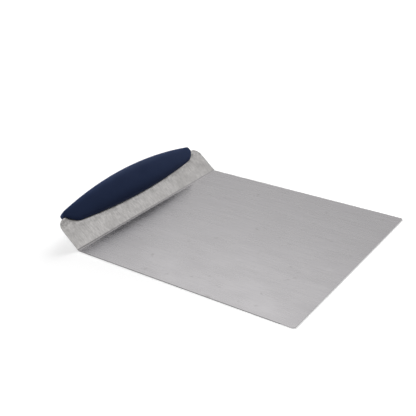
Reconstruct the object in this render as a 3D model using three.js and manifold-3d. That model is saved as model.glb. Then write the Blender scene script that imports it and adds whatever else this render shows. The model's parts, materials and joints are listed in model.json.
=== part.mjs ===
// Cake lifter: a square steel sheet, bent up along its back edge, with a soft boat-shaped handle
// clasping the upper edge of the bent flange.
// Millimetres, +Z up. The origin is the middle of the blade's flat underside, X runs along the
// bend, the front edge faces -Y and the handle is at +Y.
import * as THREE from 'three';
import { mergeVertices } from 'three/addons/utils/BufferGeometryUtils.js';
import Module from 'manifold-3d';

const wasm = await Module();
wasm.setup();

// Blade
const BLADE_WIDTH = 254;
const BLADE_LENGTH = 254;
const SHEET = 0.8;
const FRONT_CORNER_RADIUS = 3.5;
const FLANGE_HEIGHT = 38.1;
const FLANGE_LEAN = 41;
const FLANGE_CORNER_RADIUS = 11.3;
const BEND_RADIUS = 2;

// Handle outline in the plane of the flange, heights counted from the flange's top edge
const HANDLE_LENGTH = 230;
const HANDLE_ABOVE = 18.3;
const HANDLE_BELOW = 16.6;
const CROWN_RADIUS = 540;
const BELLY_RADIUS = 840;
const TIP_DROP = 3;
const CROWN_END = 4;
const HEEL_END = 16;
const HEEL_POWER = 1.5;

// Handle depths, counted from the middle of the sheet to the front and to the rear
const FRONT_DEPTH = 9;
const FRONT_TIP_DEPTH = 2.5;
const REAR_DEPTH = 11;
const REAR_TIP_DEPTH = 9;
const NOSE_END = 5;
const SECTION_POWER = 4;
const SKIN = 2;
const CORE_LENGTH = 200;
const CORE_WALL = 2.2;
const HOLLOW_LENGTH = 176;
const RIB = 1.6;

// Screws that clamp the two rigid cores through the flange
const SCREW_PITCH = 50;
const SCREW_BELOW = 6.6;
const SCREW_DIAMETER = 3;
const SCREW_POINT = 1.2;
const HEAD_DIAMETER = 6.4;
const HEAD_HEIGHT = 2;
const HEAD_CHAMFER = 0.7;
const RECESS_LENGTH = 3.4;
const RECESS_WIDTH = 0.9;
const RECESS_DEPTH = 1.1;
const BOSS_DIAMETER = 8;
const BOSS_END_WALL = 1.2;
const SPIGOT_DIAMETER = 5.8;
const SEAT_WALL = 2.5;
const BORE_WALL = 1.5;
const PLUG_SINK = 0.2;

// Room left between neighbouring pieces
const FIT = 0.3;

// Fineness of the faceted surfaces
const BODY_STEPS = 16;
const END_STEPS = 8;
const SECTION_STEPS = 24;
const ROUND_STEPS = 24;
const ARC_STEPS = 8;

// Values worked out from the driving dimensions
const lean = THREE.MathUtils.degToRad(FLANGE_LEAN);
const slotHalf = SHEET / 2 + FIT;
const seat = slotHalf + SEAT_WALL;
const boreDiameter = HEAD_DIAMETER + 2 * FIT;
const shankHole = SCREW_DIAMETER + 2 * FIT;
const headFace = seat + FIT;
const headBack = headFace + HEAD_HEIGHT;
const coreInset = SKIN + FIT;
const reach = HANDLE_LENGTH + BLADE_WIDTH + BLADE_LENGTH;
const cutDepth = 2 * SHEET;
const screwNames = ['left', 'middle', 'right'];
const screwPlaces = [-SCREW_PITCH, 0, SCREW_PITCH];

// Materials

const finish = (color, roughness, metalness) => (name) =>
  new THREE.MeshStandardMaterial({ name, color, roughness, metalness });
const satinSteel = finish(0xb4b1ae, 0.34, 1);
const softBlue = finish(0x1f2840, 0.62, 0);
const rigidGrey = finish(0x2b2d33, 0.5, 0);
const zincSteel = finish(0x9a9c9e, 0.38, 1);

// Solids from three.js geometry, for cutting and joining

function solidOf(geometry) {
  const plain = geometry.clone();
  plain.deleteAttribute('normal');
  plain.deleteAttribute('uv');
  const merged = mergeVertices(plain);
  const vertProperties = new Float32Array(merged.attributes.position.array);
  const triVerts = new Uint32Array(merged.index.array);
  return new wasm.Manifold(new wasm.Mesh({ numProp: 3, vertProperties, triVerts }));
}

function meshOf(name, solid, material) {
  const { vertProperties, triVerts } = solid.getMesh();
  const geometry = new THREE.BufferGeometry();
  geometry.setAttribute('position', new THREE.BufferAttribute(vertProperties, 3));
  geometry.setIndex(new THREE.BufferAttribute(triVerts, 1));
  geometry.computeVertexNormals();
  const mesh = new THREE.Mesh(geometry, material(name));
  mesh.name = name;
  return mesh;
}

function block([x0, x1], [y0, y1], [z0, z1]) {
  const box = new THREE.BoxGeometry(x1 - x0, y1 - y0, z1 - z0);
  return solidOf(box.translate((x0 + x1) / 2, (y0 + y1) / 2, (z0 + z1) / 2));
}

// Round bar on a screw's axis, square to the flange, from one depth to another.
function screwBar(x, diameter, z0, z1) {
  const bar = new THREE.CylinderGeometry(diameter / 2, diameter / 2, z1 - z0, ROUND_STEPS);
  return bar.rotateX(Math.PI / 2).translate(x, -SCREW_BELOW, (z0 + z1) / 2);
}

const joined = (solids) => solids.reduce((all, next) => all.add(next));
const screwBars = (diameter, z0, z1) => screwPlaces.map((x) => screwBar(x, diameter, z0, z1));
const allBars = (diameter, z0, z1) => joined(screwBars(diameter, z0, z1).map(solidOf));

// Handle frame: its origin is the middle of the flange's top edge, Y runs up the flange and Z
// stands square to it, towards the front.

const handle = new THREE.Group();
handle.rotation.x = lean;
handle.position.set(0, BLADE_LENGTH / 2, SHEET);
handle.updateMatrix();
handle.position.copy(new THREE.Vector3(0, FLANGE_HEIGHT, -SHEET / 2).applyMatrix4(handle.matrix));
handle.updateMatrix();

// Blade: a bent sheet with rounded corners and three holes under the handle

function sheetProfile() {
  const bend = BLADE_LENGTH / 2;
  const along = new THREE.Vector2(Math.cos(lean), Math.sin(lean));
  const across = new THREE.Vector2(-Math.sin(lean), Math.cos(lean));
  const tangent = bend - BEND_RADIUS * Math.tan(lean / 2);
  const centre = new THREE.Vector2(tangent, SHEET + BEND_RADIUS);
  const topFront = new THREE.Vector2(bend, SHEET).addScaledVector(along, FLANGE_HEIGHT);
  const topRear = topFront.clone().addScaledVector(across, -SHEET);
  const down = -Math.PI / 2;
  const profile = new THREE.Shape();
  profile.moveTo(-BLADE_LENGTH / 2, 0);
  profile.lineTo(tangent, 0);
  profile.absarc(centre.x, centre.y, BEND_RADIUS + SHEET, down, down + lean, false);
  profile.lineTo(topRear.x, topRear.y);
  profile.lineTo(topFront.x, topFront.y);
  profile.absarc(centre.x, centre.y, BEND_RADIUS, down + lean, down, true);
  profile.lineTo(-BLADE_LENGTH / 2, SHEET);
  return profile;
}

// What a rounded corner takes off a square one whose point is at (x, y); quarter counts
// right-angle turns from the corner that points to +X and +Y.
function cornerWaste(radius, x, y, quarter) {
  const corner = new THREE.Shape();
  corner.moveTo(-radius, radius);
  corner.lineTo(-radius, 0);
  corner.absarc(-radius, -radius, radius, Math.PI / 2, 0, true);
  corner.lineTo(radius, -radius);
  corner.lineTo(radius, radius);
  const settings = { depth: 2 * cutDepth, bevelEnabled: false, curveSegments: ARC_STEPS };
  const waste = new THREE.ExtrudeGeometry(corner, settings).translate(0, 0, -cutDepth);
  return waste.rotateZ((quarter * Math.PI) / 2).translate(x, y, 0);
}

function bladeSolid() {
  const settings = { depth: BLADE_WIDTH, bevelEnabled: false, curveSegments: ARC_STEPS };
  const sheet = new THREE.ExtrudeGeometry(sheetProfile(), settings);
  const turn = new THREE.Matrix4().makeBasis(
    new THREE.Vector3(0, 1, 0),
    new THREE.Vector3(0, 0, 1),
    new THREE.Vector3(1, 0, 0),
  );
  sheet.applyMatrix4(turn).translate(-BLADE_WIDTH / 2, 0, 0);
  const side = BLADE_WIDTH / 2;
  const frontCorners = [
    cornerWaste(FRONT_CORNER_RADIUS, -side, -BLADE_LENGTH / 2, 2),
    cornerWaste(FRONT_CORNER_RADIUS, side, -BLADE_LENGTH / 2, 3),
  ];
  const flangeWaste = [
    cornerWaste(FLANGE_CORNER_RADIUS, side, 0, 0),
    cornerWaste(FLANGE_CORNER_RADIUS, -side, 0, 1),
    ...screwBars(SPIGOT_DIAMETER + 2 * FIT, -cutDepth, cutDepth),
  ].map((geometry) => geometry.applyMatrix4(handle.matrix));
  return solidOf(sheet).subtract(joined([...frontCorners, ...flangeWaste].map(solidOf)));
}

// Handle body: sections square to the handle's length, each a rounded oval that follows the
// crown line above, the belly line below and the bowed depths to the front and the rear. An inset
// gives the same body with a layer taken off all round.

const crownLine = (x, inset) =>
  HANDLE_ABOVE - CROWN_RADIUS + Math.sqrt((CROWN_RADIUS - inset) ** 2 - x * x);
const bellyLine = (x, inset) =>
  BELLY_RADIUS - HANDLE_BELOW - Math.sqrt((BELLY_RADIUS - inset) ** 2 - x * x);
const tipLevel = crownLine(HANDLE_LENGTH / 2, 0) - TIP_DROP;

// How far a rounded end has closed at a place: 0 where it starts, 1 at the tip. A power of 2 rounds
// the end like an ellipse, and a lower power makes it straighter.
function closing(x, tip, length, power = 2) {
  const share = Math.max(0, (Math.abs(x) - tip + length) / length);
  return 1 - Math.max(0, 1 - share ** power) ** (1 / power);
}

function sectionAt(x, inset) {
  const tip = HANDLE_LENGTH / 2 - inset;
  const bow = 1 - (x / (HANDLE_LENGTH / 2)) ** 2;
  const nose = 1 - closing(x, tip, NOSE_END);
  const depth = (atTip, atMiddle) =>
    Math.max(THREE.MathUtils.lerp(atTip, atMiddle, bow) - inset, FIT) * nose;
  const top = THREE.MathUtils.lerp(crownLine(x, inset), tipLevel, closing(x, tip, CROWN_END));
  const heel = closing(x, tip, HEEL_END, HEEL_POWER);
  const bottom = THREE.MathUtils.lerp(bellyLine(x, inset), tipLevel, heel);
  return {
    middle: (top + bottom) / 2,
    rise: (top - bottom) / 2,
    front: depth(FRONT_TIP_DEPTH, FRONT_DEPTH),
    rear: depth(REAR_TIP_DEPTH, REAR_DEPTH),
  };
}

// Depth of the body's front surface, square to the flange, over a point of the handle.
function frontSurface(x, y, inset) {
  const { middle, rise, front } = sectionAt(x, inset);
  const share = Math.abs((y - middle) / rise) ** SECTION_POWER;
  return front * (1 - share) ** (1 / SECTION_POWER);
}

function sectionPlaces(tip) {
  const flank = tip - HEEL_END;
  const places = [];
  for (let i = 0; i <= BODY_STEPS; i++) {
    places.push(flank * ((2 * i) / BODY_STEPS - 1));
  }
  for (let i = 1; i < END_STEPS; i++) {
    const x = flank + HEEL_END * Math.sin((i / END_STEPS) * (Math.PI / 2));
    places.push(x, -x);
  }
  return places.sort((a, b) => a - b);
}

function handleBody(inset) {
  const tip = HANDLE_LENGTH / 2 - inset;
  const places = sectionPlaces(tip);
  const ovalShare = (value) => Math.sign(value) * Math.abs(value) ** (2 / SECTION_POWER);
  const points = [];
  for (const x of places) {
    const { middle, rise, front, rear } = sectionAt(x, inset);
    for (let j = 0; j < SECTION_STEPS; j++) {
      const turn = ((j + 0.5) / SECTION_STEPS) * 2 * Math.PI;
      const depth = Math.sin(turn) > 0 ? front : rear;
      points.push(x, middle + rise * ovalShare(Math.cos(turn)), depth * ovalShare(Math.sin(turn)));
    }
  }
  const leftTip = places.length * SECTION_STEPS;
  const rightTip = leftTip + 1;
  points.push(-tip, tipLevel, 0, tip, tipLevel, 0);
  const faces = [];
  const last = (places.length - 1) * SECTION_STEPS;
  for (let j = 0; j < SECTION_STEPS; j++) {
    const k = (j + 1) % SECTION_STEPS;
    faces.push(leftTip, k, j, rightTip, last + j, last + k);
    for (let ring = 0; ring < last; ring += SECTION_STEPS) {
      const next = ring + SECTION_STEPS;
      faces.push(ring + j, ring + k, next + k, ring + j, next + k, next + j);
    }
  }
  const body = new THREE.BufferGeometry();
  body.setAttribute('position', new THREE.Float32BufferAttribute(points, 3));
  body.setIndex(faces);
  return solidOf(body);
}

const everywhere = [-reach, reach];
const frontSpace = block(everywhere, everywhere, [FIT / 2, reach]);
const rearSpace = block(everywhere, everywhere, [-reach, -FIT / 2]);
const flangeSlot = block(everywhere, [-reach, FIT], [-slotHalf, slotHalf]);
const within = (length) => block([-length / 2, length / 2], everywhere, everywhere);
const outerBody = handleBody(0);
const skinRoom = handleBody(SKIN).intersect(within(CORE_LENGTH + 2 * FIT));
const coreBody = handleBody(coreInset).intersect(within(CORE_LENGTH));
const hollow = handleBody(coreInset + CORE_WALL).intersect(within(HOLLOW_LENGTH));
const ribs = joined(
  [-SCREW_PITCH / 2, SCREW_PITCH / 2].map((x) => block([x - RIB / 2, x + RIB / 2], everywhere, everywhere)),
);

// Identical screws stop short of the wall where the outermost one finds the handle thinnest.
const boreEnd = frontSurface(SCREW_PITCH, -SCREW_BELOW, coreInset) - BOSS_END_WALL;
const screwTip = boreEnd - FIT;
const bores = allBars(boreDiameter, -reach, -seat);

// Rigid cores: hollow half shells, stiffened by ribs, with a boss at each screw

function coreHalf(space, bosses) {
  const half = coreBody.intersect(space);
  const stiffeners = ribs.add(bosses).intersect(half);
  return half.subtract(hollow).add(stiffeners).subtract(flangeSlot);
}

function frontCoreSolid() {
  const bosses = allBars(BOSS_DIAMETER, 0, reach);
  const spigots = allBars(SPIGOT_DIAMETER, -SHEET / 2, boreEnd);
  const pilots = allBars(shankHole, -reach, boreEnd);
  return coreHalf(frontSpace, bosses).add(spigots).subtract(pilots);
}

function rearCoreSolid() {
  const bosses = allBars(boreDiameter + 2 * BORE_WALL, -reach, 0);
  const shanks = allBars(shankHole, -reach, 0);
  return coreHalf(rearSpace, bosses).subtract(shanks).subtract(bores);
}

// Soft skins: one over each core, solid at the tips, ending in a lip against the flange

const skinHalf = (space) => outerBody.subtract(skinRoom).intersect(space).subtract(flangeSlot);

// Screws and the plugs that close their bores

function screwSolid() {
  const shank = SCREW_DIAMETER / 2;
  const head = HEAD_DIAMETER / 2;
  const profile = [
    [0, -headBack],
    [head - HEAD_CHAMFER, -headBack],
    [head, -headBack + HEAD_CHAMFER],
    [head, -headFace],
    [shank, -headFace],
    [shank, screwTip - SCREW_POINT],
    [0, screwTip],
  ].map(([x, y]) => new THREE.Vector2(x, y));
  const turned = solidOf(new THREE.LatheGeometry(profile, ROUND_STEPS).rotateX(Math.PI / 2));
  const arm = [-RECESS_LENGTH / 2, RECESS_LENGTH / 2];
  const slit = [-RECESS_WIDTH / 2, RECESS_WIDTH / 2];
  const depth = [-headBack - FIT, -headBack + RECESS_DEPTH];
  return turned.subtract(block(arm, slit, depth).add(block(slit, arm, depth)));
}

const plugRoom = handleBody(PLUG_SINK);
const plugSolid = (x) =>
  solidOf(screwBar(x, boreDiameter - 2 * FIT, -reach, -headBack - FIT)).intersect(plugRoom);

handle.add(
  meshOf('front_core', frontCoreSolid(), rigidGrey),
  meshOf('rear_core', rearCoreSolid(), rigidGrey),
  meshOf('front_grip', skinHalf(frontSpace), softBlue),
  meshOf('rear_grip', skinHalf(rearSpace).subtract(bores), softBlue),
);
screwPlaces.forEach((x, i) => {
  const screw = meshOf(`screw_${screwNames[i]}`, screwSolid(), zincSteel);
  screw.position.set(x, -SCREW_BELOW, 0);
  handle.add(screw, meshOf(`plug_${screwNames[i]}`, plugSolid(x), softBlue));
});

const cakeLifter = new THREE.Group();
cakeLifter.add(meshOf('blade', bladeSolid(), satinSteel), handle);

export default cakeLifter;
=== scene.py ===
# %% [markdown]
# # A cake lifter
# This hand tool is a square sheet of thin steel that slides under what it has to carry. Its back
# edge is bent up into a leaning flange, and a soft, boat-shaped handle clasps the top of that
# flange. The lesson dresses the plain engineering model: the sheet and the soft parts are rebuilt
# with fine surfaces, every piece gets its finish, and a small white studio is set around them.

# %% Load the engineering model
import json
import math

import bmesh
import bpy
from mathutils import Matrix, Vector


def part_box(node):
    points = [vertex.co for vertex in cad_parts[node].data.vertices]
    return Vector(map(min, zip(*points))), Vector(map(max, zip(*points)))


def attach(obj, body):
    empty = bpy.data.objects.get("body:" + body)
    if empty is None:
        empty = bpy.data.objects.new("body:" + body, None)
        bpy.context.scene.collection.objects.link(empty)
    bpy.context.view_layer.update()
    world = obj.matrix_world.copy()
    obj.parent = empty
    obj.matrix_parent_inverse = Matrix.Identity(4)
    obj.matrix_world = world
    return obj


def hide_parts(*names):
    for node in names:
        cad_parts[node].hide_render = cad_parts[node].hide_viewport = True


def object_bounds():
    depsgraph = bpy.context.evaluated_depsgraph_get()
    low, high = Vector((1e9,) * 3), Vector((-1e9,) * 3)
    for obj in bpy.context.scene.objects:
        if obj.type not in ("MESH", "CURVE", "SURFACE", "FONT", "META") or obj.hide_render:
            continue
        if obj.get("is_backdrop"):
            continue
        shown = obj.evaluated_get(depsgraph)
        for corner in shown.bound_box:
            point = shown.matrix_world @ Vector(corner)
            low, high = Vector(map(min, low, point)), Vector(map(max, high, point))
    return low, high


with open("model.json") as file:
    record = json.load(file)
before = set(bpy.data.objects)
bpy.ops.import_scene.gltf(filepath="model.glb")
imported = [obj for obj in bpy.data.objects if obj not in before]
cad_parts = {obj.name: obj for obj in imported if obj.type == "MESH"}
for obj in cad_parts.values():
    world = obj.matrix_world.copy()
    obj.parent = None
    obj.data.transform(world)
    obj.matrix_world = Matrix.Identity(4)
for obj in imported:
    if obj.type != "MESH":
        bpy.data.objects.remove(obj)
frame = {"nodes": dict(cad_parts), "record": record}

MM = 0.001
cad_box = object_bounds()
print("pieces of the engineering model:", ", ".join(sorted(frame["nodes"])))

# %% [markdown]
# ## The camera
# The picture was taken from the front left, a little above the sheet. A camera can be placed by
# eye, but here the eye point, the aim and the lens were worked out from the four edges of the
# square blade, so the rebuilt lifter falls on the same place of the picture. The tiny roll levels
# it as the picture is.

# %% Place the camera
EYE = Vector((-613.7, -374.4, 380.5)) * MM
AIM = Vector((30.2, 71.3, 0.8)) * MM
CAMERA_ROLL = math.radians(-0.713)
LENS = 65.06
SENSOR_WIDTH = 36

camera_data = bpy.data.cameras.new("camera")
camera_data.sensor_width = SENSOR_WIDTH
camera_data.lens = LENS
camera = bpy.data.objects.new("camera", camera_data)
look = (AIM - EYE).to_track_quat("-Z", "Y").to_matrix() @ Matrix.Rotation(CAMERA_ROLL, 3, "Z")
camera.matrix_world = Matrix.Translation(EYE) @ look.to_4x4()
bpy.context.scene.collection.objects.link(camera)
bpy.context.scene.camera = camera
print("camera is", round((AIM - EYE).length, 3), "m from its aim")

# %% [markdown]
# ## Sums that become nodes
# Finishes and rule-shaped pieces are both made of nodes, and a formula with many separate Math
# nodes is hard to read. They could be placed and joined one by one, but the class below lets a sum
# be written as a sum: every plus, minus or root adds its Math node to the tree.

# %% Add and join nodes
def give(tree, socket, value):
    """Sets a socket to a value, or joins it to what a sum or another node gives."""
    if isinstance(value, Reckoned):
        value = value.socket
    if isinstance(value, bpy.types.NodeSocket):
        tree.links.new(value, socket)
    else:
        socket.default_value = value


def add_node(tree, kind, **inputs):
    node = tree.nodes.new(kind)
    for name, value in inputs.items():
        give(tree, node.inputs[name.replace("_", " ")], value)
    return node


print("nodes can be added and joined")

# %% A number inside a node tree
class Reckoned:
    """A number inside a node tree. Sums written with it add Math nodes to the tree."""

    def __init__(self, tree, socket):
        self.tree, self.socket = tree, socket

    def made_by(self, kind, values, operation=None):
        node = self.tree.nodes.new(kind)
        if operation:
            node.operation = operation
        for socket, value in zip(node.inputs, values):
            give(self.tree, socket, value)
        return Reckoned(self.tree, node.outputs[0])

    def by(self, operation, *others):
        return self.made_by("ShaderNodeMath", (self, *others), operation)

    def spread(self, low, high, start=0.3, end=0.7):
        """Goes from low to high, and no further, while this number goes from start to end."""
        return self.made_by("ShaderNodeMapRange", (self, start, end, low, high))

    def __add__(self, other):
        return self.by("ADD", other)

    def __sub__(self, other):
        return self.by("SUBTRACT", other)

    def __mul__(self, other):
        return self.by("MULTIPLY", other)

    def __truediv__(self, other):
        return self.by("DIVIDE", other)

    def __pow__(self, other):
        return self.by("POWER", other)

    def __neg__(self):
        return self * -1

    def __abs__(self):
        return self.by("ABSOLUTE")

    __rmul__ = __mul__

    def __rsub__(self, other):
        return -self + other

    def __rtruediv__(self, other):
        return self ** -1 * other

    def root(self):
        return self.by("SQRT")

    def within(self, low, high):
        return self.by("MAXIMUM", low).by("MINIMUM", high)


print("sums become nodes")

# %% [markdown]
# ## Helpers for finishes
# A finish is a material made only of nodes. Each one here starts from the piece's own Object
# coordinates, so a pattern sits still on the piece and has a real size. Painted pictures could be
# wrapped round the pieces instead, but they blur up close and need files. The small class below
# makes noise at a given grain size, mixes two colours, and adds a bump.

# %% A small class for finishes
class Finish:
    """A material made of nodes; the constants are set on the shader's own sockets."""

    def __init__(self, name, **constants):
        self.material = bpy.data.materials.new(name)
        self.material.use_nodes = True
        self.tree = self.material.node_tree
        self.shader = self.tree.nodes["Principled BSDF"]
        self.place = add_node(self.tree, "ShaderNodeTexCoord").outputs["Object"]
        self.use(**constants)

    def use(self, **sockets):
        for name, value in sockets.items():
            give(self.tree, self.shader.inputs[name.replace("_", " ")], value)

    def grain(self, size, detail=2.0, roughness=0.5):
        """Noise whose spots are about this size, in millimetres, along X, Y and Z."""
        mapping = add_node(self.tree, "ShaderNodeMapping", Vector=self.place,
                           Scale=[1 / (v * MM) for v in size])
        noise = add_node(self.tree, "ShaderNodeTexNoise", Vector=mapping.outputs[0], Scale=1.0,
                         Detail=detail, Roughness=roughness)
        return Reckoned(self.tree, noise.outputs["Fac"])

    def mix(self, share, first, second):
        node = self.tree.nodes.new("ShaderNodeMix")
        node.data_type = "RGBA"
        colour_sockets = [socket for socket in node.inputs if socket.type == "RGBA"]
        for socket, value in zip([node.inputs["Factor"], *colour_sockets], (share, first, second)):
            give(self.tree, socket, value)
        return next(socket for socket in node.outputs if socket.type == "RGBA")

    def bump(self, height, depth):
        node = add_node(self.tree, "ShaderNodeBump", Height=height, Distance=depth, Strength=1.0)
        return node.outputs[0]


print("a finish can have grain, mixed colours and bumps")

# %% Colours for finishes
def grey(level, warmth=0.0, rose=0.0):
    """A grey of this linear level, a little warm or cool or rosy, as a colour with alpha."""
    return (level * (1 + warmth), level * (1 - rose), level * (1 - warmth), 1.0)


def paint(red, green, blue):
    """A colour written as a screen shows it, from 0 to 255, as the linear colour that nodes use."""
    def linear(level):
        share = level / 255
        return share / 12.92 if share <= 0.04045 else ((share + 0.055) / 1.055) ** 2.4
    return (linear(red), linear(green), linear(blue), 1.0)


print("screen level 128 is the linear level", round(paint(128, 128, 128)[0], 3))

# %% [markdown]
# ## The blade
# The blade and the flange are one flat blank with rounded corners, bent along a line. The model
# follows the same road: the blank is laid out as rows of points, the broken edge of the sheet is
# added round it, and one function bends every point. A box with a bend modifier could do it too,
# but this way each row sits exactly where the bend starts and ends, and the edge stays evenly
# round.

# %% Sizes of the blank
FLANGE_LEAN = math.radians(41)
BEND_RADIUS = 2 * MM

blade_low, blade_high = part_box("blade")
mounts = {mount["name"]: mount for mount in frame["record"]["mounts"]}
blade_half = blade_high.x
blade_length = -2 * blade_low.y
sheet_thickness = mounts["blade_top"]["pos_m"][2]
flange_height = (blade_high.z - sheet_thickness) / math.sin(FLANGE_LEAN)

bend_setback = BEND_RADIUS * math.tan(FLANGE_LEAN / 2)
bend_start = blade_length - bend_setback
bend_length = (BEND_RADIUS + sheet_thickness / 2) * FLANGE_LEAN
bend_end = bend_start + bend_length
blank_length = bend_end + flange_height - bend_setback
print("blank is", round(blank_length / MM, 1), "mm long")

# %% Rows of points on the blank
FRONT_CORNER = 3.5 * MM
FLANGE_CORNER = 11.3 * MM
EDGE_BREAK = 0.2 * MM
EASE = 0.3 * MM
CORNER_STEPS, BLADE_STEPS, BEND_STEPS, FLANGE_STEPS = 10, 24, 14, 6


def steps(first, last, count):
    """Numbers from first to last, in this many equal steps."""
    return [first + (last - first) * i / count for i in range(count + 1)]


def corner_rows(radius, edge, inward):
    """Rows through two rounded corners: place along the blank, half width, the way outward."""
    rows = []
    for turn in steps(0, math.pi / 2, CORNER_STEPS):
        reach = radius - EDGE_BREAK
        place = edge + inward * (radius - reach * math.cos(turn))
        half = blade_half - radius + reach * math.sin(turn)
        rows.append((place, half, (math.sin(turn), -inward * math.cos(turn))))
    return rows


flat_places = (
    steps(FRONT_CORNER, bend_start - EASE, BLADE_STEPS)[1:]
    + steps(bend_start, bend_end, BEND_STEPS)
    + steps(bend_end + EASE, blank_length - FLANGE_CORNER, FLANGE_STEPS)[:-1]
)
blank_rows = corner_rows(FRONT_CORNER, edge=0, inward=1)
blank_rows += [(place, blade_half - EDGE_BREAK, (1, 0)) for place in flat_places]
blank_rows += corner_rows(FLANGE_CORNER, edge=blank_length, inward=-1)[::-1]
print("blank has", len(blank_rows), "rows of points")

# %% Bend the blank
bend_centre = Vector((0, -blade_length / 2 + bend_start, sheet_thickness + BEND_RADIUS))


def bent(x, place, height):
    """Where a point of the blank goes: place counts from the front, height from below."""
    turn = min(max(place - bend_start, 0) / bend_length, 1) * FLANGE_LEAN
    radius = sheet_thickness + BEND_RADIUS - height
    spoke = Vector((0, math.sin(turn), -math.cos(turn)))
    along = Vector((0, math.cos(turn), math.sin(turn)))
    straight = min(place - bend_start, 0) + max(place - bend_end, 0)
    return Vector((x, 0, 0)) + bend_centre + radius * spoke + straight * along


handle_origin = bent(0, blank_length, sheet_thickness / 2)
handle_place = Matrix.Translation(handle_origin) @ Matrix.Rotation(FLANGE_LEAN, 4, "X")
print("top of the flange is at", [round(v / MM, 2) for v in handle_origin], "mm")

# %% [markdown]
# ## Satin steel
# The sheet is stainless steel, ground on a belt: fine straight scratches run from the bend towards
# the front edge, and up the flange. Long thin noise gives such a grain, short across the lines and
# long along them, and an anisotropic shine spreads reflections across the lines, as real scratches
# do. Cutting every scratch into the mesh would be wasteful, since they are finer than a pixel. Use
# has left wide soft smudges and a few small stains on the blade. The flange is held and wiped more
# often, so its lines are coarser and it has cloudy patches, and its warm tint is a painted
# reflection of fingers. Darker specks gather just below the handle: rub marks, and painted shade
# under the handle. A darker, duller line runs along the bend: its dark colour is painted shade and
# its roughness dulls the shine. The specks are placed by the handle's own belly curve, so they
# follow it exactly.

# %% Where the marks and the painted shade are on the steel
HANDLE_BELOW = 16.6 * MM
BELLY_RADIUS = 840 * MM
MARKS_REACH = 9 * MM
CREASE_HALF = 1.2 * MM
CREASE_CORE = 0.48 * MM
CREASE_FADE = (1.0, 0.4)

steel = Finish("satin_steel", Metallic=1.0, Anisotropic=0.6)
spot = add_node(steel.tree, "ShaderNodeSeparateXYZ", Vector=steel.place).outputs
across, forward, upward = (Reckoned(steel.tree, spot[axis]) for axis in "XYZ")
up_slope = ((forward - handle_origin.y) * math.cos(FLANGE_LEAN)
            + (upward - handle_origin.z) * math.sin(FLANGE_LEAN))
below_belly = across ** 2 / (2 * BELLY_RADIUS) - HANDLE_BELOW - up_slope
# Near the handle: 1 at its lower edge, fading out below it; it places rub marks and painted shade.
near_handle = below_belly.spread(1, 0, start=0, end=MARKS_REACH)
crease_place = bend_end - blank_length
# Painted shade along the bend: a dark line, stronger on the left than on the right.
crease = abs(up_slope - crease_place).spread(1, 0, start=CREASE_CORE, end=CREASE_HALF)
crease = crease * across.spread(*CREASE_FADE, start=-blade_half, end=blade_half)
on_flange = up_slope.spread(0, 1, start=crease_place, end=crease_place + CREASE_HALF)
# The tool line printed here is painted shade along the bend.
print("tool line runs", round(-crease_place / MM, 1), "mm below the top of the flange")

# %% The ground blade
FINE_SHARE = 0.65


def clean_grey(level):
    return grey(level, warmth=0.003, rose=0.024)


# Warm grey for wear and stains, and for painted light: its warm tint on the flange is a painted
# reflection of fingers, and darker levels of it paint shade.
def wear_and_painted_light_grey(level):
    return grey(level, warmth=0.022, rose=0.006)


fine_lines = steel.grain((0.6, 30, 30), detail=2.0)
broad_lines = steel.grain((3, 160, 160), detail=3.0)
smudges = steel.grain((35, 50, 30), detail=4.0, roughness=0.55)
stains = steel.grain((11, 13, 11), detail=3.0)
lines = fine_lines * FINE_SHARE + broad_lines * (1 - FINE_SHARE)
clean = steel.mix(lines.spread(0, 1), clean_grey(0.425), clean_grey(0.505))
smudged = steel.mix(smudges.spread(0, 0.5), clean, clean_grey(0.39))
stained = steel.mix(stains.spread(0, 0.5, start=0.66, end=0.76), smudged, wear_and_painted_light_grey(0.27))
print("blade colour has", len(steel.tree.nodes), "nodes")

# %% The worn flange, with a painted warm reflection
flange_lines = steel.grain((1.5, 6, 6), detail=4.0, roughness=0.75)
patches = steel.grain((22, 18, 18), detail=4.0, roughness=0.6)
specks = steel.grain((7, 5, 5), detail=4.0, roughness=0.65)
# The flange's warm tint is a painted reflection; its coarse lines and cloudy patches are wear.
rubbed = steel.mix(flange_lines.spread(0, 1), wear_and_painted_light_grey(0.60), wear_and_painted_light_grey(0.35))
patched = steel.mix(patches.spread(0, 0.55, start=0.48, end=0.72), rubbed, wear_and_painted_light_grey(0.30))
handled = steel.mix(on_flange, stained, patched)
# Darker specks below the handle: rub marks, and painted shade under the handle.
rub_marks_and_shade = near_handle * specks.spread(0, 0.85, start=0.44, end=0.62)
marked_and_shaded = steel.mix(rub_marks_and_shade, handled, wear_and_painted_light_grey(0.23))
# Paints shade into the colour along the bend.
shaded_in_bend = steel.mix(crease * lines.spread(0.5, 0.9), marked_and_shaded, wear_and_painted_light_grey(0.16))
print("with the flange it has", len(steel.tree.nodes), "nodes")

# %% The steel's shine
SCRATCH_DEPTH = 0.0015 * MM
LINE_ROUGHNESS = (0.21, 0.26)
SMUDGE_DULLS, FLANGE_DULLS, CREASE_DULLS = 0.06, 0.04, 0.2

dullness = lines.spread(*LINE_ROUGHNESS) + smudges.spread(0, SMUDGE_DULLS)
dullness = dullness + on_flange * FLANGE_DULLS + crease * CREASE_DULLS
tangent = add_node(steel.tree, "ShaderNodeTangent")
tangent.direction_type = "UV_MAP"
tangent.uv_map = "blank"
steel.use(Base_Color=shaded_in_bend, Roughness=dullness, Tangent=tangent.outputs[0],
          Normal=steel.bump(fine_lines, SCRATCH_DEPTH))
print("steel finish has", len(steel.tree.nodes), "nodes")

# %% [markdown]
# ## The sheet's faces
# Both faces of the sheet are grids of points over the same rows, one at the underside and one a
# sheet's thickness above it. A rim of three more rings joins them and rounds the edge, as a
# deburred edge is. A Solidify modifier could thicken one face instead, but its square edge would
# still have to be rounded. Each point keeps its place on the flat blank as a map, and the grain of
# the steel follows that map round the bend.

# %% Both faces of the sheet
COLUMNS = 48
sheet = bmesh.new()
blank_spots = {}


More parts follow.
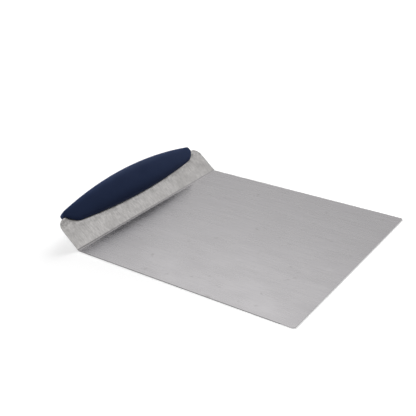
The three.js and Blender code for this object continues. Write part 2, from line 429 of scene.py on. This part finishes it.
def sheet_point(x, place, height):
    point = sheet.verts.new(bent(x, place, height))
    blank_spots[point] = (x, place)
    return point


def sheet_face(height):
    return [
        [sheet_point(half * (2 * i / COLUMNS - 1), place, height) for i in range(COLUMNS + 1)]
        for place, half, way in blank_rows
    ]


def quads(rows, flip):
    for low, high in zip(rows, rows[1:]):
        for i in range(len(low) - 1):
            corners = (low[i], low[i + 1], high[i + 1], high[i])
            sheet.faces.new(corners[::-1] if flip else corners)


under_side, top_side = sheet_face(0), sheet_face(sheet_thickness)
quads(under_side, flip=True)
quads(top_side, flip=False)
print("sheet faces:", len(sheet.faces))

# %% Points round the edge
def around(rows):
    """The outermost points of a face, once round, starting along the front edge."""
    right = [row[-1] for row in rows[1:-1]]
    left = [row[0] for row in rows[1:-1]]
    return rows[0] + right + rows[-1][::-1] + left[::-1]


def rim_spots():
    """The same points on the blank: across, along, and the way that leads out of the sheet."""
    grid = []
    for n, (place, half, way) in enumerate(blank_rows):
        ahead = -1 if n == 0 else 1
        row = [(half * (2 * i / COLUMNS - 1), place, (0, ahead)) for i in range(COLUMNS + 1)]
        row[0] = (-half, place, (-way[0], way[1]))
        row[-1] = (half, place, way)
        grid.append(row)
    return around(grid)


print("edge has", len(rim_spots()), "points")

# %% Close the sheet with a broken edge
RIM_STEPS = 2

rounding = steps(0, math.pi / 2, RIM_STEPS)[1:]
rims = [around(under_side)]
for from_top, turns in ((False, rounding), (True, rounding[::-1])):
    for turn in turns:
        out = EDGE_BREAK * math.sin(turn)
        step = EDGE_BREAK * (1 - math.cos(turn))
        height = sheet_thickness - step if from_top else step
        rims.append([sheet_point(x + out * way[0], place + out * way[1], height)
                     for x, place, way in rim_spots()])
rims.append(around(top_side))
quads([rim + rim[:1] for rim in rims], flip=False)
bmesh.ops.recalc_face_normals(sheet, faces=sheet.faces)
blank_map = sheet.loops.layers.uv.new("blank")
for face in sheet.faces:
    for corner in face.loops:
        corner[blank_map].uv = blank_spots[corner.vert]
print("closed sheet faces:", len(sheet.faces))

# %% [markdown]
# ## Rows of round bars
# Three screws hold the handle, so three holes repeat in the flange and in the rear skin. A short
# Geometry Nodes tree sets the same round bar on each point of a line. The bars serve as cutters: a
# Boolean modifier takes them out of the piece. Copying one cylinder by hand would work as well, but
# the tree keeps the pitch, the size and the depth as numbers that can be changed.

# %% Helpers for node trees
SOCKET_KINDS = {
    float: "NodeSocketFloat", int: "NodeSocketInt", bpy.types.Material: "NodeSocketMaterial",
}


def new_tree(name, sizes):
    """A Geometry Nodes tree with one named input for each size."""
    tree = bpy.data.node_groups.new(name, "GeometryNodeTree")
    tree.interface.new_socket("Piece", in_out="OUTPUT", socket_type="NodeSocketGeometry")
    for size, value in sizes.items():
        tree.interface.new_socket(size, in_out="INPUT", socket_type=SOCKET_KINDS[type(value)])
    inputs = tree.nodes.new("NodeGroupInput").outputs
    return tree, {size: Reckoned(tree, inputs[size]) for size in sizes}


def end_tree(tree, geometry, finish):
    """Every tree ends the same way: real faces, then the finish."""
    real = add_node(tree, "GeometryNodeRealizeInstances", Geometry=geometry)
    coated = add_node(tree, "GeometryNodeSetMaterial", Geometry=real.outputs[0], Material=finish)
    tree.links.new(coated.outputs[0], tree.nodes.new("NodeGroupOutput").inputs[0])


print("trees take", len(SOCKET_KINDS), "kinds of input")

# %% Helpers that make pieces
def new_piece(name, data):
    piece = bpy.data.objects.new(name, data)
    bpy.context.scene.collection.objects.link(piece)
    return piece


def plain_mesh(piece):
    """Turns what the modifiers made into a plain mesh, and takes the modifiers off."""
    bpy.context.view_layer.update()
    result = piece.evaluated_get(bpy.context.evaluated_depsgraph_get())
    mesh = bpy.data.meshes.new_from_object(result)
    piece.modifiers.clear()
    piece.data = mesh
    mesh.name = piece.name
    return piece


def grow(name, tree, sizes):
    """A piece made by a tree, with its sizes set by the inputs' identifiers."""
    piece = new_piece(name, bpy.data.meshes.new(name))
    modifier = piece.modifiers.new(name, "NODES")
    modifier.node_group = tree
    for item in tree.interface.items_tree:
        if item.in_out == "INPUT":
            modifier[item.identifier] = sizes[item.name]
    return plain_mesh(piece)


print("pieces can be grown from trees")

# %% A tree that sets round bars in a row
SCREW_PITCH = 50 * MM
SCREW_BELOW = 6.6 * MM
SCREWS = 3
FLANGE_HOLE = 6.4 * MM
HOLE_DEPTH = 2 * MM
ROUND_SIDES = 48

bar_sizes = {
    "Pitch": SCREW_PITCH, "Below": SCREW_BELOW, "Diameter": FLANGE_HOLE, "Start": -HOLE_DEPTH,
    "End": HOLE_DEPTH, "Count": SCREWS, "Finish": steel.material,
}
bar_tree, size = new_tree("row_of_bars", bar_sizes)
first_bar = size["Pitch"] * (1 - size["Count"]) / 2
start = add_node(bar_tree, "ShaderNodeCombineXYZ", X=first_bar, Y=-size["Below"],
                 Z=(size["Start"] + size["End"]) / 2)
stride = add_node(bar_tree, "ShaderNodeCombineXYZ", X=size["Pitch"])
points = add_node(bar_tree, "GeometryNodeMeshLine", Count=size["Count"],
                  Start_Location=start.outputs[0], Offset=stride.outputs[0])
bar = add_node(bar_tree, "GeometryNodeMeshCylinder", Vertices=ROUND_SIDES,
               Radius=size["Diameter"] / 2, Depth=size["End"] - size["Start"])
bars = add_node(bar_tree, "GeometryNodeInstanceOnPoints", Points=points.outputs[0],
                Instance=bar.outputs[0])
end_tree(bar_tree, bars.outputs[0], size["Finish"])
print("bar tree has", len(bar_tree.nodes), "nodes")

# %% Helpers that cut and settle a piece
def cut(piece, cutter):
    """Takes the cutter's shape out of the piece, and removes the cutter."""
    boolean = piece.modifiers.new("cut", "BOOLEAN")
    boolean.object = cutter
    boolean.solver = "EXACT"
    plain_mesh(piece)
    bpy.data.objects.remove(cutter)


def settle(piece, node_names, sharp_angle):
    """Gives a piece its crisp edges and its body, and hides the engineering parts that it replaces.
    """
    piece.data.shade_smooth()
    piece.data.set_sharp_from_angle(angle=math.radians(sharp_angle))
    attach(piece, "root")
    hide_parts(*node_names)
    measures = [round(v / MM, 1) for v in piece.dimensions]
    print(piece.name, "measures", measures, "mm in", len(piece.data.polygons), "faces")


print("pieces can be cut and settled")

# %% Cut the holes and finish the blade
blade_mesh = bpy.data.meshes.new("steel_blade")
sheet.to_mesh(blade_mesh)
sheet.free()
blade_mesh.materials.append(steel.material)
blade = new_piece("steel_blade", blade_mesh)
hole_bars = grow("hole_bars", bar_tree, bar_sizes)
hole_bars.data.transform(handle_place)
cut(blade, hole_bars)
settle(blade, ["blade"], sharp_angle=20)

# %% [markdown]
# ## Soft blue rubber
# The handle is covered in a dark blue, soft-touch rubber. It hardly shines, so its specular level
# is low and its roughness high. Up close it has a fine pebbled grain, its blue drifts a little from
# place to place, and use has rubbed it slightly smoother in soft patches. One even colour would be
# quicker, but it would look like paint, so slow and fine noise vary both the colour and the
# roughness.

# %% The rubber's finish
PEBBLE_DEPTH = 0.02 * MM

rubber = Finish("soft_blue_rubber", Specular_IOR_Level=0.06)
drift = rubber.grain((30, 20, 20), detail=3.0)
worn = rubber.grain((50, 30, 30), detail=2.0)
pebbles = rubber.grain((0.5, 0.5, 0.5), detail=2.0)
cloudy = rubber.mix(drift.spread(0, 1), paint(38, 50, 79), paint(43, 55, 85))
speckled = rubber.mix(pebbles.spread(0, 0.3), cloudy, paint(50, 61, 92))
rubber.use(Base_Color=speckled, Roughness=worn.spread(0.50, 0.60) + pebbles.spread(-0.04, 0.04),
           Normal=rubber.bump(pebbles, PEBBLE_DEPTH))
print("rubber finish has", len(rubber.tree.nodes), "nodes")

# %% [markdown]
# ## The handle's shape as a rule
# The handle is a boat: seen from the front its top follows a crown circle and its bottom a flatter
# belly circle. The top ends in a tight round, the bottom in a long slanting heel, and seen from
# above the handle is thick in the middle and thin at the ends. Every cross-section is a squared
# oval between those lines. Such a shape could be sculpted, but it follows a rule, so Geometry Nodes
# can compute each point from a few named sizes.

# %% The handle's sizes
FIT = 0.3 * MM
HANDLE_SIZES = {
    "Length": 230 * MM, "Above": 18.3 * MM, "Below": HANDLE_BELOW, "Crown radius": 540 * MM,
    "Belly radius": BELLY_RADIUS, "Tip drop": 3 * MM, "Crown end": 4 * MM, "Heel end": 16 * MM,
    "Heel power": 1.5, "Nose end": 5 * MM, "Section power": 4.0, "Split": FIT / 2,
}
FRONT_DEPTHS = {"Middle depth": 9 * MM, "Tip depth": 2.5 * MM}
REAR_DEPTHS = {"Middle depth": 11 * MM, "Tip depth": 9 * MM}
print("handle is", round(HANDLE_SIZES["Length"] / MM), "mm long")

# %% The handle's rule
class HandleRule:
    """The handle's lines for one tree; an inset takes a layer off all round."""

    def __init__(self, size):
        self.size = size
        self.half_length = size["Length"] / 2
        crown_tip = (size["Crown radius"] ** 2 - self.half_length ** 2).root()
        self.tip_level = size["Above"] - size["Crown radius"] + crown_tip - size["Tip drop"]

    def closing(self, x, inset, end, power=2.0):
        """0 where an end starts, 1 at the tip; power 2 is round, a lower power is straighter."""
        share = ((abs(x) - self.half_length + inset + end) / end).within(0, 1)
        return 1 - (1 - share ** power).within(0, 1) ** (1 / power)

    def arc(self, radius, x, inset):
        """How far a circle's edge is from its middle, square to the handle, at x."""
        return ((self.size[radius] - inset) ** 2 - x * x).root()

    def section(self, x, inset):
        """Middle, half height and depth of the cross-section at x."""
        size = self.size
        crown = size["Above"] - size["Crown radius"] + self.arc("Crown radius", x, inset)
        belly = size["Belly radius"] - size["Below"] - self.arc("Belly radius", x, inset)
        top = crown + (self.tip_level - crown) * self.closing(x, inset, size["Crown end"])
        heel = self.closing(x, inset, size["Heel end"], size["Heel power"])
        bottom = belly + (self.tip_level - belly) * heel
        bow = 1 - (x / self.half_length) ** 2
        depth = size["Tip depth"] + (size["Middle depth"] - size["Tip depth"]) * bow - inset
        depth = depth + (size["Split"] - depth) * self.closing(x, inset, size["Nose end"])
        return (top + bottom) / 2, (top - bottom) / 2, depth

    def squared(self, wave):
        """Pulls a sine or cosine out towards the corners of a squared oval."""
        return wave.by("SIGN") * abs(wave) ** (2 / self.size["Section power"])


print("the rule reads", len(HANDLE_SIZES) + len(FRONT_DEPTHS), "sizes")

# %% [markdown]
# ## The soft skins
# Each half of the handle wears a skin 2 mm thick, solid rubber at the tips, which ends in a small
# round lip at the joint with the other skin and at the flange. A flat grid is rolled into this
# shell by the rule: one way of the grid runs from tip to tip, the other goes once round the wall,
# over the lip, along the outside, over the second lip and back along the inside. Cutting a smaller
# boat out of a larger one would also leave a shell, but with sharp lips. The rear skin is the same
# tree with its side turned.

# %% A tree that makes a skin
CORE_LENGTH = 200 * MM
SLOT_EASE = 0.6 * MM
SECTION_STEPS = 36
LIP_STEPS = 5
STATIONS = 181

skin_sizes = {
    **HANDLE_SIZES, **FRONT_DEPTHS, "Side": 1.0, "Skin": 2 * MM, "Hollow": CORE_LENGTH + 2 * FIT,
    "Lip": 0.6 * MM, "Shave": 0.15 * MM, "Slot half": sheet_thickness / 2 + FIT,
    "Finish": rubber.material,
}
skin_tree, size = new_tree("handle_skin", skin_sizes)
rule = HandleRule(size)

wall_steps = SECTION_STEPS + 2 * LIP_STEPS + 1
grid = add_node(skin_tree, "GeometryNodeMeshGrid", Size_X=2.0, Size_Y=2.0, Vertices_X=STATIONS,
                Vertices_Y=2 * wall_steps + 1)
grid_spot = add_node(skin_tree, "ShaderNodeSeparateXYZ",
                     Vector=skin_tree.nodes.new("GeometryNodeInputPosition").outputs[0]).outputs
along = Reckoned(skin_tree, grid_spot["X"])
round_wall = ((Reckoned(skin_tree, grid_spot["Y"]) + 1) * wall_steps).by("ROUND")
count = round_wall.by("MODULO", 2 * wall_steps)
inside = count.by("GREATER_THAN", wall_steps - 0.5)
step = count + inside * (2 * wall_steps - 1 - 2 * count)
print("a skin has", STATIONS * 2 * wall_steps, "points")

# %% Roll the grid into the skin
LIP_SHARE = 0.4

inset = size["Shave"] + inside * (size["Skin"] - size["Shave"])
outer_reach = rule.half_length - size["Shave"]
reach = outer_reach + inside * (size["Hollow"] / 2 - outer_reach)
x = size["Side"] * reach * (along * (math.pi / 2)).by("SINE")
at_end = abs(along).by("GREATER_THAN", 1 - 1 / STATIONS)
middle, rise, deep = rule.section(x, inset)
rise, deep = rise * (1 - at_end), deep * (1 - at_end)

top_lip = (step / LIP_STEPS).within(0, 1) * (math.pi / 2)
turn = ((step - LIP_STEPS) / SECTION_STEPS).within(0, 1) * math.pi
low_lip = ((step - LIP_STEPS - SECTION_STEPS) / LIP_STEPS).within(0, 1) * (math.pi / 2)
lip_limit = deep.by("MINIMUM", rise) * LIP_SHARE
lip = (1 - inside) * size["Lip"].by("MINIMUM", lip_limit)
print("the skin's rule has", len(skin_tree.nodes), "nodes up to its lips")

# %% Heights and depths of the skin
height = middle + rise * rule.squared(turn.by("COSINE"))
height = height - lip * (1 - top_lip.by("SINE")) + lip * (1 - low_lip.by("COSINE"))
beside_slot = height.spread(0, 1, start=FIT, end=FIT + SLOT_EASE)
rim = size["Slot half"] + (size["Split"] - size["Slot half"]) * beside_slot
depth = rim + lip * (1 - top_lip.by("COSINE") - low_lip.by("SINE"))
depth = depth + (deep - rim - lip).by("MAXIMUM", 0) * rule.squared(turn.by("SINE"))
print("the skin's whole rule has", len(skin_tree.nodes), "nodes")

# %% Set the points and seal the skin
MERGE = 0.001 * MM


def rolled_up(tree, grid, x, y, z, finish):
    """Moves every point of a grid to its place, seals the seams and ends the tree."""
    place = add_node(tree, "ShaderNodeCombineXYZ", X=x, Y=y, Z=z)
    rolled = add_node(tree, "GeometryNodeSetPosition", Geometry=grid.outputs[0],
                      Position=place.outputs[0])
    sealed = add_node(tree, "GeometryNodeMergeByDistance", Geometry=rolled.outputs[0],
                      Distance=MERGE)
    end_tree(tree, sealed.outputs[0], finish)
    print(tree.name, "has", len(tree.nodes), "nodes")


def grown_closed(name, tree, sizes):
    """A closed piece made by a tree, with its faces turned outwards."""
    piece = grow(name, tree, sizes)
    shell = bmesh.new()
    shell.from_mesh(piece.data)
    bmesh.ops.recalc_face_normals(shell, faces=shell.faces)
    open_edges = sum(not edge.is_manifold for edge in shell.edges)
    shell.to_mesh(piece.data)
    shell.free()
    print(name, "has", open_edges, "open edges")
    return piece


rolled_up(skin_tree, grid, x, height, size["Side"] * depth, size["Finish"])

# %% Make both skins
HEAD_BORE = 7 * MM
BORE_START, BORE_END = -15 * MM, -3.2 * MM

front_skin = grown_closed("front_soft_skin", skin_tree, skin_sizes)
front_skin.data.transform(handle_place)
settle(front_skin, ["front_grip"], sharp_angle=50)

rear_skin = grown_closed("rear_soft_skin", skin_tree, {**skin_sizes, **REAR_DEPTHS, "Side": -1.0})
bores = {**bar_sizes, "Diameter": HEAD_BORE, "Start": BORE_START, "End": BORE_END}
cut(rear_skin, grow("bore_bars", bar_tree, bores))
rear_skin.data.transform(handle_place)
settle(rear_skin, ["rear_grip"], sharp_angle=50)

# %% [markdown]
# ## The plugs
# Three rubber plugs close the screw bores on the rear. Each is a short round bar whose face follows
# the handle's surface, a touch below it, with a softly rounded rim. The tree starts from a flat
# disc of rings: the outer rings roll down the side and the last one closes the underside. A
# bevelled cylinder would be simpler, but its flat face could not follow the curved handle.

# %% A tree that makes a plug
FACE_RINGS = 3
RIM_RINGS = 4
PLUG_RINGS = FACE_RINGS + RIM_RINGS + 2

plug_sizes = {
    **HANDLE_SIZES, **REAR_DEPTHS, "Place": 0.0, "Drop": SCREW_BELOW,
    "Diameter": HEAD_BORE - 2 * FIT, "Sink": 0.2 * MM, "Rim": 0.45 * MM, "Foot": 5.8 * MM,
    "Finish": rubber.material,
}
plug_tree, size = new_tree("bore_plug", plug_sizes)
rule = HandleRule(size)
grid = add_node(plug_tree, "GeometryNodeMeshGrid", Size_X=2.0, Size_Y=2.0,
                Vertices_X=ROUND_SIDES + 1, Vertices_Y=PLUG_RINGS + 1)
grid_spot = add_node(plug_tree, "ShaderNodeSeparateXYZ",
                     Vector=plug_tree.nodes.new("GeometryNodeInputPosition").outputs[0]).outputs
turn = Reckoned(plug_tree, grid_spot["X"]) * math.pi
ring = ((Reckoned(plug_tree, grid_spot["Y"]) + 1) * (PLUG_RINGS / 2)).by("ROUND")
print("a plug has", PLUG_RINGS + 1, "rings")

# %% Roll the disc into a plug
on_face = (ring / FACE_RINGS).within(0, 1)
over_rim = ((ring - FACE_RINGS) / RIM_RINGS).within(0, 1) * (math.pi / 2)
at_foot = (ring - FACE_RINGS - RIM_RINGS).within(0, 1)
under_foot = (ring - FACE_RINGS - RIM_RINGS - 1).within(0, 1)
reach = (size["Diameter"] / 2 - size["Rim"]) * on_face + size["Rim"] * over_rim.by("SINE")
reach = reach * (1 - under_foot)
x = size["Place"] + reach * turn.by("COSINE")
y = reach * turn.by("SINE") - size["Drop"]
middle, rise, deep = rule.section(x, size["Sink"])
share = abs((y - middle) / rise) ** size["Section power"]
face_depth = deep * (1 - share).by("MAXIMUM", 0) ** (1 / size["Section power"])
face_depth = face_depth - size["Rim"] * (1 - over_rim.by("COSINE"))
depth = face_depth + (size["Foot"] - face_depth) * at_foot
rolled_up(plug_tree, grid, x, y, -depth, size["Finish"])

# %% Make the plugs
for n, side in enumerate(("left", "middle", "right")):
    sizes = {**plug_sizes, "Place": (n - (SCREWS - 1) / 2) * SCREW_PITCH}
    plug = grown_closed(f"{side}_bore_plug", plug_tree, sizes)
    plug.data.transform(handle_place)
    settle(plug, [f"plug_{side}"], sharp_angle=50)

# %% [markdown]
# ## The hidden core and the screws
# Under the skins lie two stiff plastic half shells, and three screws pull them together through the
# flange. They could be rebuilt finely too, but their engineering solids already have the right
# shape and nobody sees them on a whole lifter. So they stay and only get a finish: a moulded
# plastic with a faint spark-eroded grain, and a bright zinc plating with tiny crystals.

# %% The plastic and the zinc
SPARK_DEPTH = 0.03 * MM
CRYSTAL_DEPTH = 0.01 * MM

plastic = Finish("moulded_grey_plastic", Specular_IOR_Level=0.35)
cloud = plastic.grain((20, 20, 20), detail=3.0)
sparks = plastic.grain((0.4, 0.4, 0.4), detail=2.0)
tone = plastic.mix(cloud.spread(0, 1), paint(40, 42, 48), paint(50, 52, 58))
plastic.use(Base_Color=tone, Roughness=sparks.spread(0.45, 0.60),
            Normal=plastic.bump(sparks, SPARK_DEPTH))

zinc = Finish("bright_zinc", Metallic=1.0)
crystals = zinc.grain((0.8, 0.8, 0.8), detail=3.0)
tarnish = zinc.grain((4, 4, 4), detail=3.0)
plating = zinc.mix(crystals.spread(0, 1), grey(0.42, warmth=-0.02), grey(0.52, warmth=-0.02))
aged = zinc.mix(tarnish.spread(0, 0.4), plating, grey(0.34, warmth=0.05))
zinc.use(Base_Color=aged, Roughness=crystals.spread(0.28, 0.42),
         Normal=zinc.bump(crystals, CRYSTAL_DEPTH))
print("plastic has", len(plastic.tree.nodes), "nodes and zinc", len(zinc.tree.nodes))

# %% Finish the core and the screws
KEPT_FINISHES = {
    "front_core": plastic, "rear_core": plastic,
    "screw_left": zinc, "screw_middle": zinc, "screw_right": zinc,
}
for name, finish in KEPT_FINISHES.items():
    for material_slot in frame["nodes"][name].material_slots:
        material_slot.material = finish.material
    print(name, "is finished in", finish.material.name)

# %% [markdown]
# ## The studio
# The picture has a plain white ground. A pale floor that receives light gives the lifter a soft
# shadow, and a glow, seen only by the camera and in reflections, lifts the floor to white. The glow
# is weak near the flange, where the shadow falls, and grows away from it. The sky is white for the
# camera and dimmer as a light, so that the lamps still shape the handle. In reflections it is white
# above and a little darker towards the horizon, as the walls of a room are, and that makes the
# blade fall slowly from light to dark. Brighter lamps would whiten the ground as well, but they
# would bleach the handle too.

# %% The floor
FLOOR_SIZE = 8.0
FLOOR_DROP = 0.2 * MM

floor_mesh = bpy.data.meshes.new("floor")
edge = FLOOR_SIZE / 2
corners = [(-edge, -edge), (edge, -edge), (edge, edge), (-edge, edge)]
floor_mesh.from_pydata([(x, y, -FLOOR_DROP) for x, y in corners], [], [(0, 1, 2, 3)])
floor = new_piece("floor", floor_mesh)
floor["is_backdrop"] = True
print("floor is", FLOOR_SIZE, "m wide")

# %% The floor's glow
FLOOR_LEVEL = 0.70
FLOOR_GLOW = 0.26
FLOOR_FADE = (0.15, 0.60)


def rays(tree):
    """1 or 0 for the rays of the camera, those of shiny surfaces, and those through glass."""
    path = tree.nodes.new("ShaderNodeLightPath").outputs
    return [Reckoned(tree, path[f"Is {kind} Ray"]) for kind in ("Camera", "Glossy", "Transmission")]


paper = Finish("white_paper", Base_Color=grey(FLOOR_LEVEL), Roughness=0.9, Specular_IOR_Level=0.0,
               Emission_Color=grey(1.0))
far_off = add_node(paper.tree, "ShaderNodeVectorMath", Vector=paper.place)
far_off.operation = "DISTANCE"
far_off.inputs[1].default_value = handle_origin
glow = Reckoned(paper.tree, far_off.outputs["Value"]).spread(FLOOR_GLOW, 1.0, *FLOOR_FADE)
from_camera, from_shine, through_glass = rays(paper.tree)
seen = from_camera.by("MAXIMUM", from_shine).by("MAXIMUM", through_glass)
paper.use(Emission_Strength=seen * glow)
floor_mesh.materials.append(paper.material)
print("glow grows between", FLOOR_FADE[0], "and", FLOOR_FADE[1], "m from the top of the flange")

# %% The sky
SKY_LIGHT = 0.225
WALL_LEVEL = 0.63
WALL_TOP, SKY_START = math.radians(26), math.radians(31.5)

sky = bpy.data.worlds.new("white_sky")
sky.use_nodes = True
bpy.context.scene.world = sky
background = sky.node_tree.nodes["Background"]
background.inputs["Color"].default_value = grey(1.0)
way = add_node(sky.node_tree, "ShaderNodeTexCoord").outputs["Generated"]
parted = add_node(sky.node_tree, "ShaderNodeSeparateXYZ", Vector=way)
climb = Reckoned(sky.node_tree, parted.outputs["Z"])
wall = climb.spread(WALL_LEVEL, 1.0, start=math.sin(WALL_TOP), end=math.sin(SKY_START))
from_camera, from_shine, through_glass = rays(sky.node_tree)
mirrored = from_shine.by("MAXIMUM", through_glass) * wall
strength = from_camera.by("MAXIMUM", mirrored).by("MAXIMUM", SKY_LIGHT)
give(sky.node_tree, background.inputs["Strength"], strength)
print("sky lights at", SKY_LIGHT)

# %% [markdown]
# ## The lamps
# A strong lamp stands far behind the lifter and draws a lighter rim along the top of the handle. A
# small lamp close by on the right makes the right half of the handle lighter than the left, and
# throws the shadow. Both are kept out of reflections, because the white sky already stands for them
# there. A third, weak and wide lamp behind the lifter is seen in the steel and lifts the near half
# of the blade. One large lamp could do all of this, but then the steel and the handle could not be
# set apart.

# %% Set the lamps
LIT_SPOT = Vector((0, 0.05, 0))


def soft_lamp(name, azimuth, elevation, distance, width, watts, in_reflections=True):
    """A round lamp that faces the lifter; azimuth counts from +X towards +Y."""
    data = bpy.data.lights.new(name, "AREA")
    data.shape = "DISK"
    data.size = width
    data.energy = watts
    lamp = new_piece(name, data)
    lamp.visible_glossy = in_reflections
    turn = Matrix.Rotation(math.radians(azimuth), 3, "Z")
    tilt = Matrix.Rotation(-math.radians(elevation), 3, "Y")
    way = turn @ tilt @ Vector((1, 0, 0))
    lamp.location = LIT_SPOT + distance * way
    lamp.rotation_euler = way.to_track_quat("Z", "Y").to_euler()
    print(name, "gives", watts, "W from", distance, "m")


soft_lamp("rim_lamp", azimuth=105, elevation=42, distance=1.6, width=0.6, watts=19.0,
          in_reflections=False)
soft_lamp("near_lamp", azimuth=30, elevation=34, distance=0.8, width=0.5, watts=4.1,
          in_reflections=False)
soft_lamp("back_lamp", azimuth=38, elevation=48, distance=1.9, width=1.15, watts=1.5)
bpy.context.scene.view_settings.view_transform = "Standard"

# %% [markdown]
# ## The last look
# The dressed lifter has to stay as large as the engineering model, because other parts are fitted
# to it.

# %% Print the sizes of both boxes
new_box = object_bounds()
boxes = {"cad": [list(corner) for corner in cad_box], "visual": [list(corner) for corner in new_box]}
for name, (low, high) in boxes.items():
    print(name, "box is", [round((b - a) / MM, 2) for a, b in zip(low, high)], "mm")
